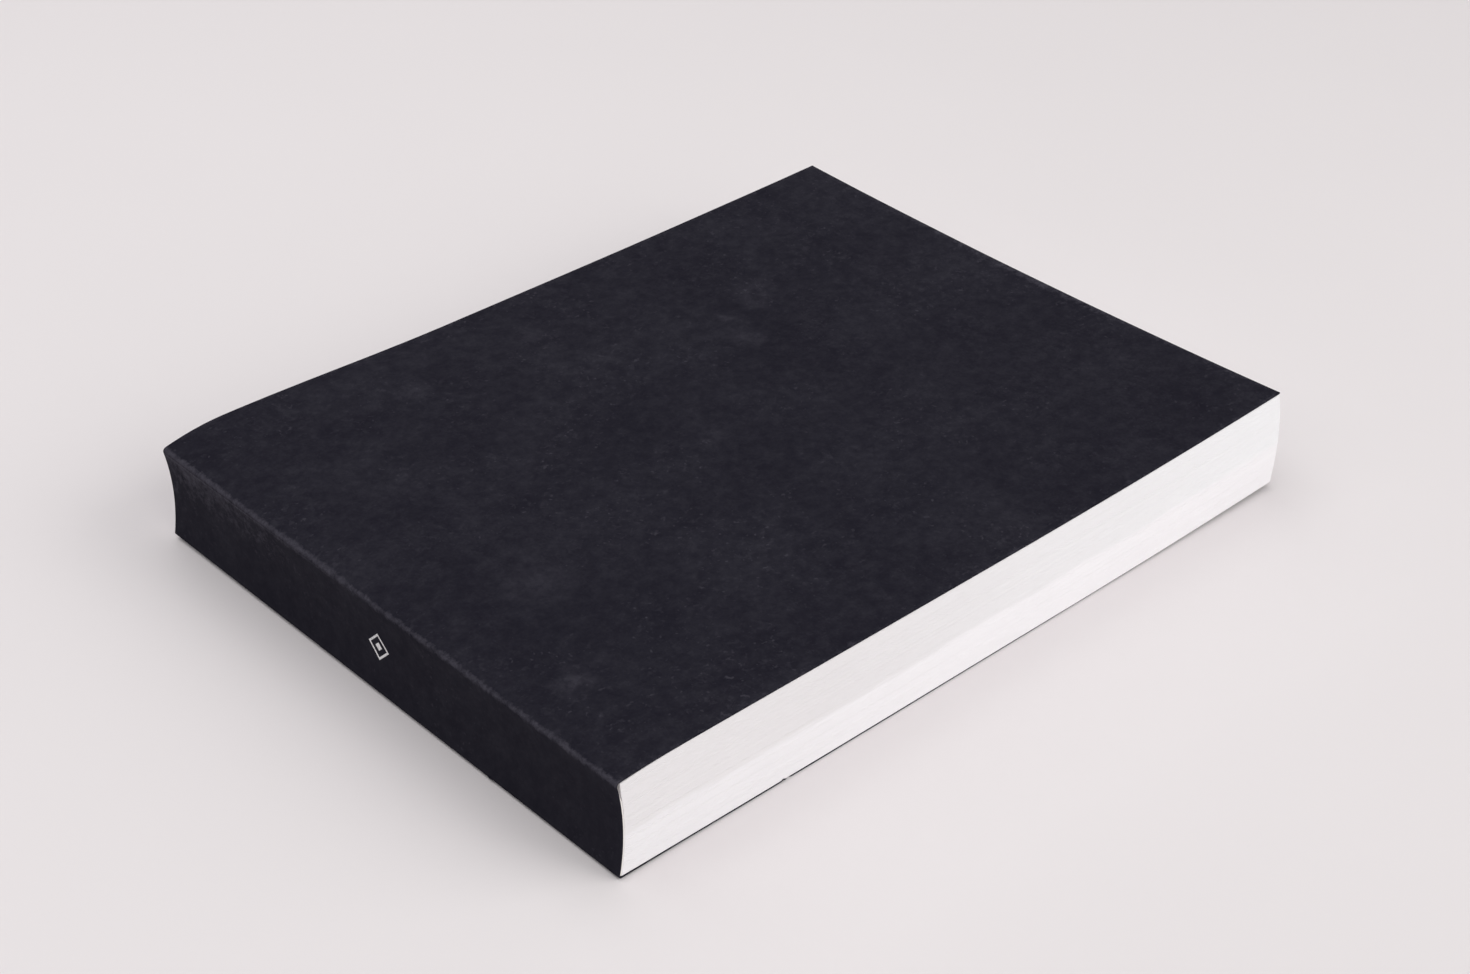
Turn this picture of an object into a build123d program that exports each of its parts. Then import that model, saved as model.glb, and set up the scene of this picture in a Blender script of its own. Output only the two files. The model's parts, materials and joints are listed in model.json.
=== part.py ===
from build123d import *
import os

os.makedirs("parts", exist_ok=True)

# A thick soft-cover book in landscape format, closed and lying on its back cover.
# X runs from the spine to the fore-edge, Y from tail to head along the spine, Z up.
# All sizes are in millimetres.

# Overall format
COVER_WIDTH = 246.0  # front hinge line to the front cover's fore-edge
SPINE_LENGTH = 188.0  # tail to head
BLOCK_THICKNESS = 29.6  # all the leaves together, at the middle of the book

# Cover card and what lies under it
CARD = 0.4  # thickness of the cover
GLUE = 0.4  # adhesive between the bound leaf edges and the spine of the cover
GLUE_SEAT = 0.03  # clearance of the leaf edges from the adhesive
PAGE_GAP = 0.1  # air between a cover and the leaf next to it
FRONT_FOLD_RADIUS = 0.8  # inner radii of the two spine folds
BACK_FOLD_RADIUS = 0.4

# Spine: drawn in at mid-height, with the back fold a little nearer the fore-edge
SPINE_HOLLOW = 1.35
SPINE_LEAN = 0.4

# Fore-edge: the leaves bulge out at mid-height, and the lowest stand further out than the top ones
FORE_BULGE = 1.7
FORE_LEAN = 1.55

# Back cover: it lies on its flat middle, and lifts to the spine, where the binding grips, and to the fore-edge
BACK_PINCH = 0.8  # how far the fold lies above the flat
BACK_REACH = 100.0  # back hinge line to the flat
BACK_TURN = 160.0  # front hinge line to where the lift to the fore-edge begins
BACK_RISE = 0.8  # fore-edge above the flat

# Front cover: up from the fold to a swell beside the spine, down to a level stretch, up to the fore-edge
FRONT_PINCH = 0.8  # how far the fold lies under the level stretch
SWELL_REACH = 20.0  # front hinge line to the crest of the swell
LEVEL_REACH = 98.0  # front hinge line to where the swell has died out
RISE_REACH = 130.0  # front hinge line to where the rise to the fore-edge begins
TAIL_SWELL = 0.2  # crest above the level stretch, at the tail, half-way and at the head
MIDDLE_SWELL = 0.9
HEAD_SWELL = 1.8
TAIL_RISE = 2.0  # fore-edge above the level stretch, at the tail, half-way and at the head
MIDDLE_RISE = 0.0
HEAD_RISE = 1.1

FLAT = Vector(1, 0)  # direction of the level stretches

# Worked-out sizes
front_radius = FRONT_FOLD_RADIUS + CARD
back_radius = BACK_FOLD_RADIUS + CARD
page_depth = CARD + PAGE_GAP  # outer face of a cover to the leaf under it
front_level = BLOCK_THICKNESS + 2 * page_depth
front_hinge = Vector(0, front_level - FRONT_PINCH - front_radius)
back_hinge = Vector(SPINE_LEAN, BACK_PINCH + back_radius)
back_level = Vector(SPINE_LEAN + BACK_REACH, 0)
back_turn = Vector(BACK_TURN, 0)
back_corner = Vector(COVER_WIDTH + FORE_LEAN, BACK_RISE)
STATIONS = (
    (-SPINE_LENGTH / 2, TAIL_SWELL, TAIL_RISE),
    (0, MIDDLE_SWELL, MIDDLE_RISE),
    (SPINE_LENGTH / 2, HEAD_SWELL, HEAD_RISE),
)


def bow(low, high, depth):
    """Centre, radius and mid direction of the arc between two points that bows towards the fore-edge."""
    chord = high - low
    radius = (chord.length**2 / 4 + depth**2) / (2 * depth)
    outward = Vector(chord.Y, -chord.X).normalized()
    return (low + high) / 2 + outward * (depth - radius), radius, outward


spine_centre, spine_radius, spine_outward = bow(back_hinge, front_hinge, SPINE_HOLLOW)


def inward(hinge):
    """Unit vector square to the spine at a hinge line, from the outer face towards the leaves."""
    return (hinge - spine_centre).normalized()


def spine_arc(depth):
    """Arc of the spine at a depth under its outer face, from the back hinge up to the front hinge."""
    middle = spine_centre + spine_outward * (spine_radius + depth)
    low, high = (hinge + inward(hinge) * depth for hinge in (back_hinge, front_hinge))
    return ThreePointArc(low, middle, high)


class Fold:
    """Rounded fold between the spine and one cover, turning from the spine to the cover's own direction."""

    def __init__(self, hinge, radius, along, away):
        self.inward = inward(hinge)
        self.radius = radius
        self.centre = hinge + self.inward * radius
        self.along = along.normalized()
        self.away = away.normalized()

    def end(self, depth):
        """Point where the fold runs out into the cover, at a depth under the outer face."""
        return self.centre + self.away * (self.radius - depth)

    def arc(self, depth):
        """Arc of the fold at a depth under the outer face, from the spine to the cover."""
        radius = self.radius - depth
        start = self.centre - self.inward * radius
        middle = self.centre + (self.away - self.inward).normalized() * radius
        return ThreePointArc(start, middle, self.end(depth))


def front_fold(swell):
    """Upper fold, leaving at the slope that a parabola to the crest of the swell starts with."""
    slope = 2 * (FRONT_PINCH + swell) / SWELL_REACH
    return Fold(front_hinge, front_radius, Vector(1, slope), Vector(-slope, 1))


def back_fold():
    """Lower fold, leaving at the slope that a parabola down to the flat starts with."""
    slope = 2 * BACK_PINCH / BACK_REACH
    return Fold(back_hinge, back_radius, Vector(1, -slope), Vector(-slope, -1))


def front_curve(depth, swell, rise):
    """Lines of the front cover, at a depth under its outer face: up to the crest, down, level, up to the fore-edge."""
    fold = front_fold(swell)
    level = front_level - depth
    crest, settled, turn = Vector(SWELL_REACH, level + swell), Vector(LEVEL_REACH, level), Vector(RISE_REACH, level)
    corner = Vector(COVER_WIDTH, level + rise)
    climb = Spline(fold.end(depth), crest, tangents=(fold.along, FLAT))
    fall = Spline(crest, settled, tangents=(FLAT, FLAT))
    return climb, fall, Line(settled, turn), lift(turn, corner)


def lift(turn, corner):
    """Parabola that leaves the level at a point and ends at a corner of the fore-edge."""
    run = corner - turn
    return Spline(turn, corner, tangents=(FLAT, Vector(run.X, 2 * run.Y)))


def back_curve(depth):
    """Lines of the back cover, at a depth above its outer face: down to the flat, along it, up to the fore-edge."""
    fold = back_fold()
    raised = Vector(0, depth)
    level, turn, corner = back_level + raised, back_turn + raised, back_corner + raised
    ease = Spline(fold.end(depth), level, tangents=(fold.along, FLAT))
    return ease, Line(level, turn), lift(turn, corner)


def section(edges, y):
    """Face from a closed ring of edges drawn in X and Z, stood up at a place along the spine."""
    return Plane.XZ.offset(-y) * make_face(edges)


def page_section(y, swell, rise):
    """Leaves: hollow spine side, pinched corners, top and underside like the covers', and bulging fore-edge."""
    spine = spine_arc(CARD + GLUE + GLUE_SEAT)
    top, base = front_curve(page_depth, swell, rise), back_curve(page_depth)
    low, high = base[-1] @ 1, top[-1] @ 1
    centre, radius, outward = bow(low, high, FORE_BULGE)
    fore_edge = ThreePointArc(low, centre + outward * radius, high)
    corners = Line(spine @ 1, top[0] @ 0), Line(spine @ 0, base[0] @ 0)
    return section((spine, *corners, *top, *base, fore_edge), y)


def card_section(y, fold, curve):
    """One card thickness from a hinge line round its fold and out to the fore-edge."""
    folds, lines = [fold.arc(depth) for depth in (0, CARD)], [curve(depth) for depth in (0, CARD)]
    outer, inner = lines
    ends = Line(folds[0] @ 0, folds[1] @ 0), Line(outer[-1] @ 1, inner[-1] @ 1)
    return section((*folds, *outer, *inner, *ends), y)


def front_section(y, swell, rise):
    """Front cover at a place along the spine."""
    return card_section(y, front_fold(swell), lambda depth: front_curve(depth, swell, rise))


def back_section(y):
    """Back cover, the same all along the spine."""
    return card_section(y, back_fold(), back_curve)


def spine_section(y, outer, inner):
    """One curved layer of the spine between two depths under the outer face."""
    face, back = spine_arc(outer), spine_arc(inner)
    return section((face, back, Line(face @ 0, back @ 0), Line(face @ 1, back @ 1)), y)


def along_spine(face):
    """Carry a tail section straight along the spine to the head."""
    return extrude(face, SPINE_LENGTH, dir=(0, 1, 0))


tail = STATIONS[0][0]
parts = {
    "page_block": loft([page_section(*station) for station in STATIONS]),
    "spine_glue": along_spine(spine_section(tail, CARD, CARD + GLUE)),
    "spine_cover": along_spine(spine_section(tail, 0, CARD)),
    "front_cover": loft([front_section(*station) for station in STATIONS]),
    "back_cover": along_spine(back_section(tail)),
}

# The origin is under the middle of the closed book, on the plane it lies on
boxes = [solid.bounding_box() for solid in parts.values()]
reach = min(box.min.X for box in boxes), max(box.max.X for box in boxes)
centring = Vector(-sum(reach) / 2, 0, 0)
for name, solid in parts.items():
    export_step(Pos(centring) * solid, f"parts/{name}.step")

for name, hinge in (("front hinge", front_hinge), ("back hinge", back_hinge)):
    print(name, "x", round(hinge.X + centring.X, 4), "z", round(hinge.Y, 4))
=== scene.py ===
import json
import math

import bpy
import numpy as np
from bpy.props import FloatProperty, FloatVectorProperty, IntProperty, PointerProperty
from mathutils import Matrix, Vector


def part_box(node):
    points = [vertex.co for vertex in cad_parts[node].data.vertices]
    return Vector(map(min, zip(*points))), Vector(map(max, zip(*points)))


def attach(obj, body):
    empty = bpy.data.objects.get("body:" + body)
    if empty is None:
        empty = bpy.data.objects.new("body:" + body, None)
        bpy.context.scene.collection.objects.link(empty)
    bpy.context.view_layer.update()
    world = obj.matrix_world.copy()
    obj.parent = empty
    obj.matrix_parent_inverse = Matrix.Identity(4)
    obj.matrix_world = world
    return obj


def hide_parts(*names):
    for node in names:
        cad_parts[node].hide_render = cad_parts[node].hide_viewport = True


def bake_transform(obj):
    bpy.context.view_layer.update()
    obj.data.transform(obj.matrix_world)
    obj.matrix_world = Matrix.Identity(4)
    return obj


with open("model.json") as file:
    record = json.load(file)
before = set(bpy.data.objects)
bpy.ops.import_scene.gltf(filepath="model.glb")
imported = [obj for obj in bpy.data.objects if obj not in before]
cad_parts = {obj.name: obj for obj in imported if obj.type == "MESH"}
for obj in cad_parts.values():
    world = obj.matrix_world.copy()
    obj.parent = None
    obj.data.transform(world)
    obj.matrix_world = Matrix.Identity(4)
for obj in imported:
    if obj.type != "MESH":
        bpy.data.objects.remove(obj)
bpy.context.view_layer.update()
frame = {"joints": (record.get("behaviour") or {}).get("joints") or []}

bl_info = {
    "name": "Soft-cover book",
    "version": (1, 0, 0),
    "blender": (4, 5, 0),
    "location": "View3D > Sidebar > Book",
    "description": "Dresses a thick soft-cover book: card cover, spine, trimmed leaves and a studio floor",
    "category": "Object",
}

# Places taken from the frame: X runs from the spine to the fore-edge, Y from tail to head, Z up
HINGES = {joint["child"]: np.array(joint["pos_m"])[[0, 2]] for joint in frame["joints"]}
FRONT_HINGE = HINGES["front_cover"]  # X and Z of the hinge line
BACK_HINGE = HINGES["back_cover"]
FRONT_FORE_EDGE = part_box("front_cover")[1].x
BACK_FORE_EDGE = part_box("back_cover")[1].x
TAIL, HEAD = (corner.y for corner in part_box("front_cover"))
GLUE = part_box("spine_glue")[1].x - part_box("spine_cover")[1].x

# The two covers, as the sign that turns the front one's formulas into the back one's
FRONT = 1
BACK = -1

# Options that many properties share
SIZE = {"unit": "LENGTH", "precision": 5}
STATIONS = {"size": 3, "unit": "LENGTH", "precision": 5}
SHARE = {"subtype": "FACTOR", "min": 0.0, "max": 1.0}
COLOUR = {"subtype": "COLOR", "size": 3, "min": 0.0, "max": 1.0}


class CoverSettings(bpy.types.PropertyGroup):
    """Card cover: thickness, folds, the rise and fall of both covers, and its colours."""

    card: FloatProperty(name="Card", description="Thickness of the cover card", default=0.0004, **SIZE)
    front_fold: FloatProperty(
        name="Front fold", description="Outer radius of the front spine fold", default=0.0012, **SIZE)
    back_fold: FloatProperty(
        name="Back fold", description="Outer radius of the back spine fold", default=0.0008, **SIZE)
    hollow: FloatProperty(
        name="Hollow", description="How far the spine is drawn in at mid-height", default=0.00135, **SIZE)
    front_pinch: FloatProperty(
        name="Front pinch", description="Front fold below the cover's level stretch", default=0.0008, **SIZE)
    swell_reach: FloatProperty(
        name="Swell reach", description="Front hinge line to the crest of the swell", default=0.02, **SIZE)
    level_reach: FloatProperty(
        name="Level reach", description="Front hinge line to the end of the swell", default=0.098, **SIZE)
    rise_reach: FloatProperty(
        name="Rise reach", description="Front hinge line to the start of the rise", default=0.13, **SIZE)
    swell: FloatVectorProperty(
        name="Swell", description="Crest above the level stretch at tail, middle and head",
        default=(0.0002, 0.0009, 0.0018), **STATIONS)
    rise: FloatVectorProperty(
        name="Rise", description="Front fore-edge above the level stretch at tail, middle and head",
        default=(0.0022, 0.0, 0.0011), **STATIONS)
    back_pinch: FloatProperty(
        name="Back pinch", description="Back fold above the floor", default=0.0008, **SIZE)
    back_reach: FloatProperty(
        name="Back reach", description="Back hinge line to the flat of the cover", default=0.1, **SIZE)
    back_turn: FloatProperty(
        name="Back turn", description="Front hinge line to the start of its lift", default=0.16, **SIZE)
    back_rise: FloatVectorProperty(
        name="Back rise", description="Back fore-edge above the floor at tail, middle and head",
        default=(0.0014, 0.0007, 0.0008), **STATIONS)
    recess: FloatProperty(
        name="Recess", description="How far the back's tail edge draws in", default=0.0004, **SIZE)
    twist: FloatVectorProperty(
        name="Twist", description="Extra lift of the back fold at tail, middle and head",
        default=(-0.0002, 0.0, 0.0004), **STATIONS)
    ripple: FloatProperty(
        name="Ripple", description="Height of the faint waves in the card", default=0.00005, **SIZE)
    dark: FloatVectorProperty(
        name="Dark card", description="Darkest tone of the card's mottling",
        default=(0.0099, 0.0093, 0.0153), **COLOUR)
    light: FloatVectorProperty(
        name="Light card", description="Lightest tone of the card's mottling",
        default=(0.0225, 0.0217, 0.0299), **COLOUR)
    # Grey of worn card; the same grey also paints the highlight along the folds and the sheen high on the
    # spine towards the head
    worn_and_sheen: FloatVectorProperty(
        name="Worn card", description="Card rubbed grey on folds, edges and flecks",
        default=(0.055, 0.052, 0.067), **COLOUR)


class PageSettings(bpy.types.PropertyGroup):
    """Trimmed leaves: how many, how uneven, and their colours."""

    leaves: IntProperty(name="Leaves", description="Number of leaves in the block", default=268, min=2)
    gap: FloatProperty(
        name="Gap", description="Air between a cover and the leaf next to it", default=0.0001, **SIZE)
    seat: FloatProperty(
        name="Seat", description="Clearance of the bound edges from the adhesive", default=0.00006, **SIZE)
    tuck: FloatProperty(
        name="Tuck", description="How far the topmost bound edges draw back", default=0.0003, **SIZE)
    tuck_from: FloatProperty(
        name="Tuck from", description="Share of the height where the tuck begins", default=0.8, **SHARE)
    bulge: FloatProperty(
        name="Bulge", description="How far the fore-edge stands out at mid-height", default=0.0017, **SIZE)
    jitter: FloatProperty(
        name="Jitter", description="How far a leaf's trimmed edge strays", default=0.000018, **SIZE)
    split: FloatProperty(
        name="Split", description="Share of the height where the greyer leaves begin", default=0.42, **SHARE)
    # Leaf colours hold painted light: the upper leaves go from a shaded colour near the spine to a lighter,
    # cooler one near the fore-edge, and the lower leaves are painted darker near the spine, standing in for
    # the light that falls from the right
    upper: FloatVectorProperty(
        name="Upper leaves", description="Colour of the upper leaves near the spine",
        default=(0.764, 0.745, 0.762), **COLOUR)
    upper_fore: FloatVectorProperty(
        name="Upper fore-edge", description="Colour of the upper leaves near the fore-edge",
        default=(0.823, 0.822, 0.842), **COLOUR)
    lower: FloatVectorProperty(
        name="Lower leaves", description="Colour of the lower leaves' trimmed edges",
        default=(0.854, 0.838, 0.862), **COLOUR)


class MarkSettings(bpy.types.PropertyGroup):
    """Plain lozenge printed in white ink at the middle of the spine."""

    width: FloatProperty(name="Width", description="Lozenge along the spine", default=0.0085, **SIZE)
    height: FloatProperty(name="Height", description="Lozenge up the spine", default=0.0085, **SIZE)
    stroke: FloatProperty(
        name="Stroke", description="Share of the lozenge that its outline takes", default=0.2, **SHARE)
    dot: FloatProperty(
        name="Dot", description="Share of the lozenge that its centre takes", default=0.32, **SHARE)
    film: FloatProperty(name="Film", description="Thickness of the ink", default=0.00002, **SIZE)
    ink: FloatVectorProperty(name="Ink", description="Colour of the ink", default=(0.8, 0.79, 0.8), **COLOUR)


class StageSettings(bpy.types.PropertyGroup):
    """Floor, light and camera."""

    floor: FloatVectorProperty(
        name="Floor", description="Colour of the paper floor", default=(0.79, 0.752, 0.766), **COLOUR)
    floor_size: FloatProperty(
        name="Floor size", description="Side of the square floor", default=24.0, unit="LENGTH")
    fade: FloatVectorProperty(
        name="Fade", description="Distances between which the floor turns to its plain colour",
        default=(0.75, 1.9), size=2, unit="LENGTH")
    sky: FloatProperty(name="Sky", description="Strength of the even light from all round", default=0.23)
    sky_tint: FloatVectorProperty(
        name="Sky tint", description="Colour of the even light", default=(1.0, 0.985, 0.99), **COLOUR)
    near_lamps: FloatVectorProperty(
        name="Near lamps", description="Power of the lamps on the left and behind",
        default=(9.0, 9.25), size=2, unit="POWER")
    far_lamps: FloatVectorProperty(
        name="Far lamps", description="Power of the lamps in front and on the right",
        default=(12.3, 16.5), size=2, unit="POWER")
    lamp_sizes: FloatVectorProperty(
        name="Lamp sizes", description="Sides of the square soft lamps, near and far ones",
        default=(1.6, 2.4), size=2, unit="LENGTH")
    lamp_spreads: FloatVectorProperty(
        name="Lamp spreads", description="Angles over which the lamps shine, near and far ones",
        default=(math.radians(180), math.radians(110)), size=2, unit="ROTATION")
    azimuth: FloatProperty(
        name="Azimuth", description="Turn of the camera round the book",
        default=math.radians(-43.368), subtype="ANGLE")
    elevation: FloatProperty(
        name="Elevation", description="Angle at which the camera looks down",
        default=math.radians(34.0854), subtype="ANGLE")
    roll: FloatProperty(
        name="Roll", description="Tilt of the camera about its own axis",
        default=math.radians(0.8221), subtype="ANGLE")
    eye: FloatVectorProperty(
        name="Eye", description="Place of the camera",
        default=(-0.42412, -0.44965, 0.42676), subtype="XYZ", unit="LENGTH")
    lens: FloatProperty(
        name="Lens", description="Focal length in millimetres", default=65.03, unit="CAMERA")


# Curves of the book's section

def between(stations, y):
    """Parabola along the spine through the values at tail, middle and head."""
    low, middle, high = stations
    t = y / HEAD
    return middle + t * (high - low) / 2 + t**2 * ((high + low) / 2 - middle)


def smooth(t):
    """Share that goes from 0 to 1 with level ends, for t from 0 to 1: 3t^2 - 2t^3."""
    t = np.clip(t, 0, 1)
    return t * t * (3 - 2 * t)


def hump(x, middle, reach):
    """Bell curve of height 1: e to the minus square of the distance in reaches."""
    return np.exp(-(((x - middle) / reach) ** 2))


def parabola(x, start, end):
    """Share of a lift, level at the start and full at the end: the square of the way between them."""
    return np.clip((x - start) / (end - start), 0, None) ** 2


def crowded(count, pull):
    """Shares from 0 to 1 that lie closer together near 0: a straight part plus a square."""
    t = np.linspace(0, 1, count)
    return (1 - pull) * t + pull * t**2


def spine_arc(cover):
    """Centre, radius and end angles of the circle through both hinge lines, drawn in by the hollow."""
    chord = FRONT_HINGE - BACK_HINGE
    length = np.hypot(*chord)
    radius = (length**2 / 4 + cover.hollow**2) / (2 * cover.hollow)
    inward = np.array((chord[1], -chord[0])) / length
    centre = (FRONT_HINGE + BACK_HINGE) / 2 + inward * (cover.hollow - radius)
    ends = [math.atan2(*(hinge - centre)[::-1]) for hinge in (BACK_HINGE, FRONT_HINGE)]
    return centre, radius, ends


def spine_line(cover, share, depth):
    """X and Z on the spine's arc at a depth under its outer face; share 0 is the back hinge, 1 the front."""
    centre, radius, (low, high) = spine_arc(cover)
    angle = low + share * (high - low)
    return centre[0] + (radius + depth) * np.cos(angle), centre[1] + (radius + depth) * np.sin(angle)


def fold_of(cover, side):
    """Hinge line and outer radius of one cover's fold."""
    return (FRONT_HINGE, cover.front_fold) if side == FRONT else (BACK_HINGE, cover.back_fold)


def fore_edge_of(side):
    """X of one cover's fore-edge."""
    return FRONT_FORE_EDGE if side == FRONT else BACK_FORE_EDGE


def fold_line(cover, side, slope, share, depth):
    """X and Z round a spine fold: an arc about a centre one fold radius inside the hinge line.
    It turns from square to the spine, at share 0, to square to the cover's slope, at share 1."""
    hinge, radius = fold_of(cover, side)
    spine_centre, _, _ = spine_arc(cover)
    inward = (hinge - spine_centre) / np.hypot(*(hinge - spine_centre))
    centre = hinge + inward * radius
    start = math.atan2(-side * inward[1], -inward[0]) % (2 * math.pi)
    angle = start + share * (np.arctan2(1, -slope) - start)
    reach = radius - depth
    return centre[0] + reach * np.cos(angle), centre[1] + side * reach * np.sin(angle)


def slope_of(cover, side, y):
    """Slope at which a cover leaves its fold, upwards in front and downwards at the back."""
    if side == FRONT:
        return 2 * (cover.front_pinch + between(cover.swell, y)) / cover.swell_reach
    return np.full_like(y, 2 * cover.back_pinch / cover.back_reach)


def front_level(cover):
    """Height of the level stretch of the front cover's outer face."""
    return FRONT_HINGE[1] + cover.front_fold + cover.front_pinch


def front_height(cover, x, y, depth):
    """Height of the front cover at a depth under its outer face.
    A parabola climbs from the fold to the crest of the swell, an S-curve falls to the level stretch, and
    another parabola rises to the fore-edge; swell and rise change along the spine."""
    crest = between(cover.swell, y)
    from_hinge = x - FRONT_HINGE[0]
    climb = np.clip(1 - from_hinge / cover.swell_reach, 0, None) ** 2
    fall = smooth((from_hinge - cover.swell_reach) / (cover.level_reach - cover.swell_reach))
    rise = between(cover.rise, y) * parabola(x, FRONT_HINGE[0] + cover.rise_reach, FRONT_FORE_EDGE)
    return front_level(cover) + crest * (1 - fall) - (crest + cover.front_pinch) * climb + rise - depth


def back_height(cover, x, y, depth):
    """Height of the back cover at a depth above its outer face: a parabola down from the fold, a flat
    stretch and a parabola up to the fore-edge."""
    drop = np.clip(1 - (x - BACK_HINGE[0]) / cover.back_reach, 0, None) ** 2
    lift = parabola(x, FRONT_HINGE[0] + cover.back_turn, BACK_FORE_EDGE)
    return cover.back_pinch * drop + between(cover.back_rise, y) * lift + depth


def settled(cover, points):
    """Points of the book moved by the twist with which it lies: the back fold's extra lift along the spine,
    fading to nothing at the height of the front hinge and at the flat of the back cover."""
    x, y, z = np.moveaxis(points, -1, 0)
    below = np.clip(1 - z / FRONT_HINGE[1], 0, 1)
    beside = np.clip(1 - (x - BACK_HINGE[0]) / cover.back_reach, 0, 1) ** 2
    return np.stack((x, y, z + between(cover.twist, y) * below * beside), axis=-1)


# Waves in the front cover: radians per metre along X and along Y, and phase
WAVES = ((71, 23, 0.4), (-37, 58, 1.9), (19, -83, 3.1), (112, 64, 5.2), (-96, 141, 0.9))


def waves(x, y):
    """Faint unevenness of a sheet, from -1 to 1: the mean of a few slanted sine waves of unlike lengths."""
    return sum(np.sin(a * x + b * y + c) for a, b, c in WAVES) / len(WAVES)


# Meshes from arrays

CREASE = math.radians(30)  # angle past which two faces meet in a sharp edge


def quads(index):
    """Four-cornered faces between neighbours in a grid of vertex numbers."""
    corners = index[:-1, :-1], index[1:, :-1], index[1:, 1:], index[:-1, 1:]
    return np.stack(corners, axis=-1).reshape(-1, 4)


def rim(grid):
    """Vertex numbers once round the border of a grid, closed."""
    sides = grid[0, :-1], grid[:-1, -1], grid[-1, :0:-1], grid[:0:-1, 0], grid[0, :1]
    return np.concatenate(sides)


def wall(outer, inner):
    """Points and faces of a closed sheet between two grids of points: outer face, inner face and cut edge.
    The outer grid's normal is the first direction crossed with the second."""
    count = outer.shape[0] * outer.shape[1]
    face = np.arange(count).reshape(outer.shape[:2])
    back = face + count
    edge = np.stack((rim(face), rim(back)))
    faces = np.concatenate((quads(face), quads(back)[:, ::-1], quads(edge)[:, ::-1]))
    return np.concatenate((outer.reshape(-1, 3), inner.reshape(-1, 3))), faces


def make_piece(name, points, faces, material, **attributes):
    """Object of a mesh with these points, four-cornered faces, material and point attributes.
    One more attribute, rest, keeps the points' places for patterns that move with a bent sheet."""
    mesh = bpy.data.meshes.new(name)
    mesh.vertices.add(len(points))
    mesh.vertices.foreach_set("co", points.astype(np.float32).ravel())
    mesh.loops.add(faces.size)
    mesh.loops.foreach_set("vertex_index", faces.astype(np.int32).ravel())
    mesh.polygons.add(len(faces))
    mesh.polygons.foreach_set("loop_start", np.arange(0, faces.size, 4, dtype=np.int32))
    mesh.update(calc_edges=True)
    for key, values in attributes.items():
        layer = mesh.attributes.new(key, "FLOAT", "POINT")
        layer.data.foreach_set("value", np.asarray(values, np.float32).ravel())
    rest = mesh.attributes.new("rest", "FLOAT_VECTOR", "POINT")
    rest.data.foreach_set("vector", points.astype(np.float32).ravel())
    mesh.shade_smooth()
    mesh.set_sharp_from_angle(angle=CREASE)
    mesh.materials.append(material)
    made = bpy.data.objects.new(name, mesh)
    bpy.context.scene.collection.objects.link(made)
    return made


# Node helpers

def new_material(name):
    """Empty node material, its node tree and its surface shader."""
    material = bpy.data.materials.new(name)
    material.use_nodes = True
    tree = material.node_tree
    return material, tree, tree.nodes["Principled BSDF"]


def add(tree, kind, inputs=None, **settings):
    """New shader node; an input given as a socket is linked and any other value is set."""
    node = tree.nodes.new("ShaderNode" + kind)
    for key, value in settings.items():
        setattr(node, key, value)
    for key, value in (inputs or {}).items():
        if isinstance(value, bpy.types.NodeSocket):
            tree.links.new(value, node.inputs[key])
        else:
            node.inputs[key].default_value = value
    return node


def attribute(tree, name):
    """Value of one of the piece's point attributes."""
    return add(tree, "Attribute", attribute_name=name).outputs["Fac"]


def noise(tree, where, scale, detail, roughness=0.5, stretch=(1, 1, 1), warp=0.0):
    """Cloudy noise on given coordinates, stretched along the axes; scale is in waves per metre."""
    mapped = add(tree, "Mapping", {"Vector": where, "Scale": stretch}).outputs["Vector"]
    values = {"Vector": mapped, "Scale": scale, "Detail": detail, "Roughness": roughness, "Distortion": warp}
    return add(tree, "TexNoise", values).outputs["Fac"]


def ramp(tree, value, span, to=(0.0, 1.0)):
    """Value taken linearly from one span to another and held at the ends."""
    low, high = span
    spans = {"Value": value, "From Min": low, "From Max": high, "To Min": to[0], "To Max": to[1]}
    return add(tree, "MapRange", spans).outputs["Result"]


def times(tree, first, second):
    """Product of two values."""
    return add(tree, "Math", {0: first, 1: second}, operation="MULTIPLY").outputs[0]


def plus(tree, first, second):
    """Sum of two values, held between 0 and 1."""
    return add(tree, "Math", {0: first, 1: second}, operation="ADD", use_clamp=True).outputs[0]


def mix(tree, share, first, second):
    """Colour between two colours, which the node takes at sockets 6 and 7 and gives at 2."""
    node = add(tree, "Mix", {0: share}, data_type="RGBA")
    for socket, colour in ((node.inputs[6], first), (node.inputs[7], second)):
        if isinstance(colour, bpy.types.NodeSocket):
            tree.links.new(colour, socket)
        else:
            socket.default_value = (*colour, 1.0)
    return node.outputs[2]


def toned_by(tree, colour, value):
    """Colour made lighter or darker by a value near 1."""
    return add(tree, "HueSaturation", {"Value": value, "Color": colour}).outputs["Color"]


def bump(tree, height, strength, distance, under=None):
    """Normal disturbed by a height, over another such normal if there is one."""
    inputs = {"Height": height, "Strength": strength, "Distance": distance}
    if under is not None:
        inputs["Normal"] = under
    return add(tree, "Bump", inputs).outputs["Normal"]


def connect(tree, shader, gloss, **sockets):
    """Sets the shader's gloss and links sockets to its inputs of the same names."""
    shader.inputs["Specular IOR Level"].default_value = gloss
    for key, socket in sockets.items():
        tree.links.new(socket, shader.inputs[key.replace("_", " ")])


# Materials

# Spans of a noise's values: most of them, and nearly all
MOST = (0.3, 0.7)
NEARLY_ALL = (0.2, 0.8)

# Card: shares of its tone, contrast, and the tone that a calm surface tends to
CLOUD_SHARE = 0.4
SPECKLE_SHARE = 0.6
SPECKLE_SPAN = (0.32, 0.7)
CONTRAST = 1.6
CALM_TONE = 0.36
# Card: pale flecks and rubs, and how far a rub's outline strays
WISP_SHARE = 0.22
DOT_SHARE = 0.5
RUB_GAIN = 1.25
RUB_CORE = 0.3
RUB_RIM = 1.3
RUB_STRAY = 0.014
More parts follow.
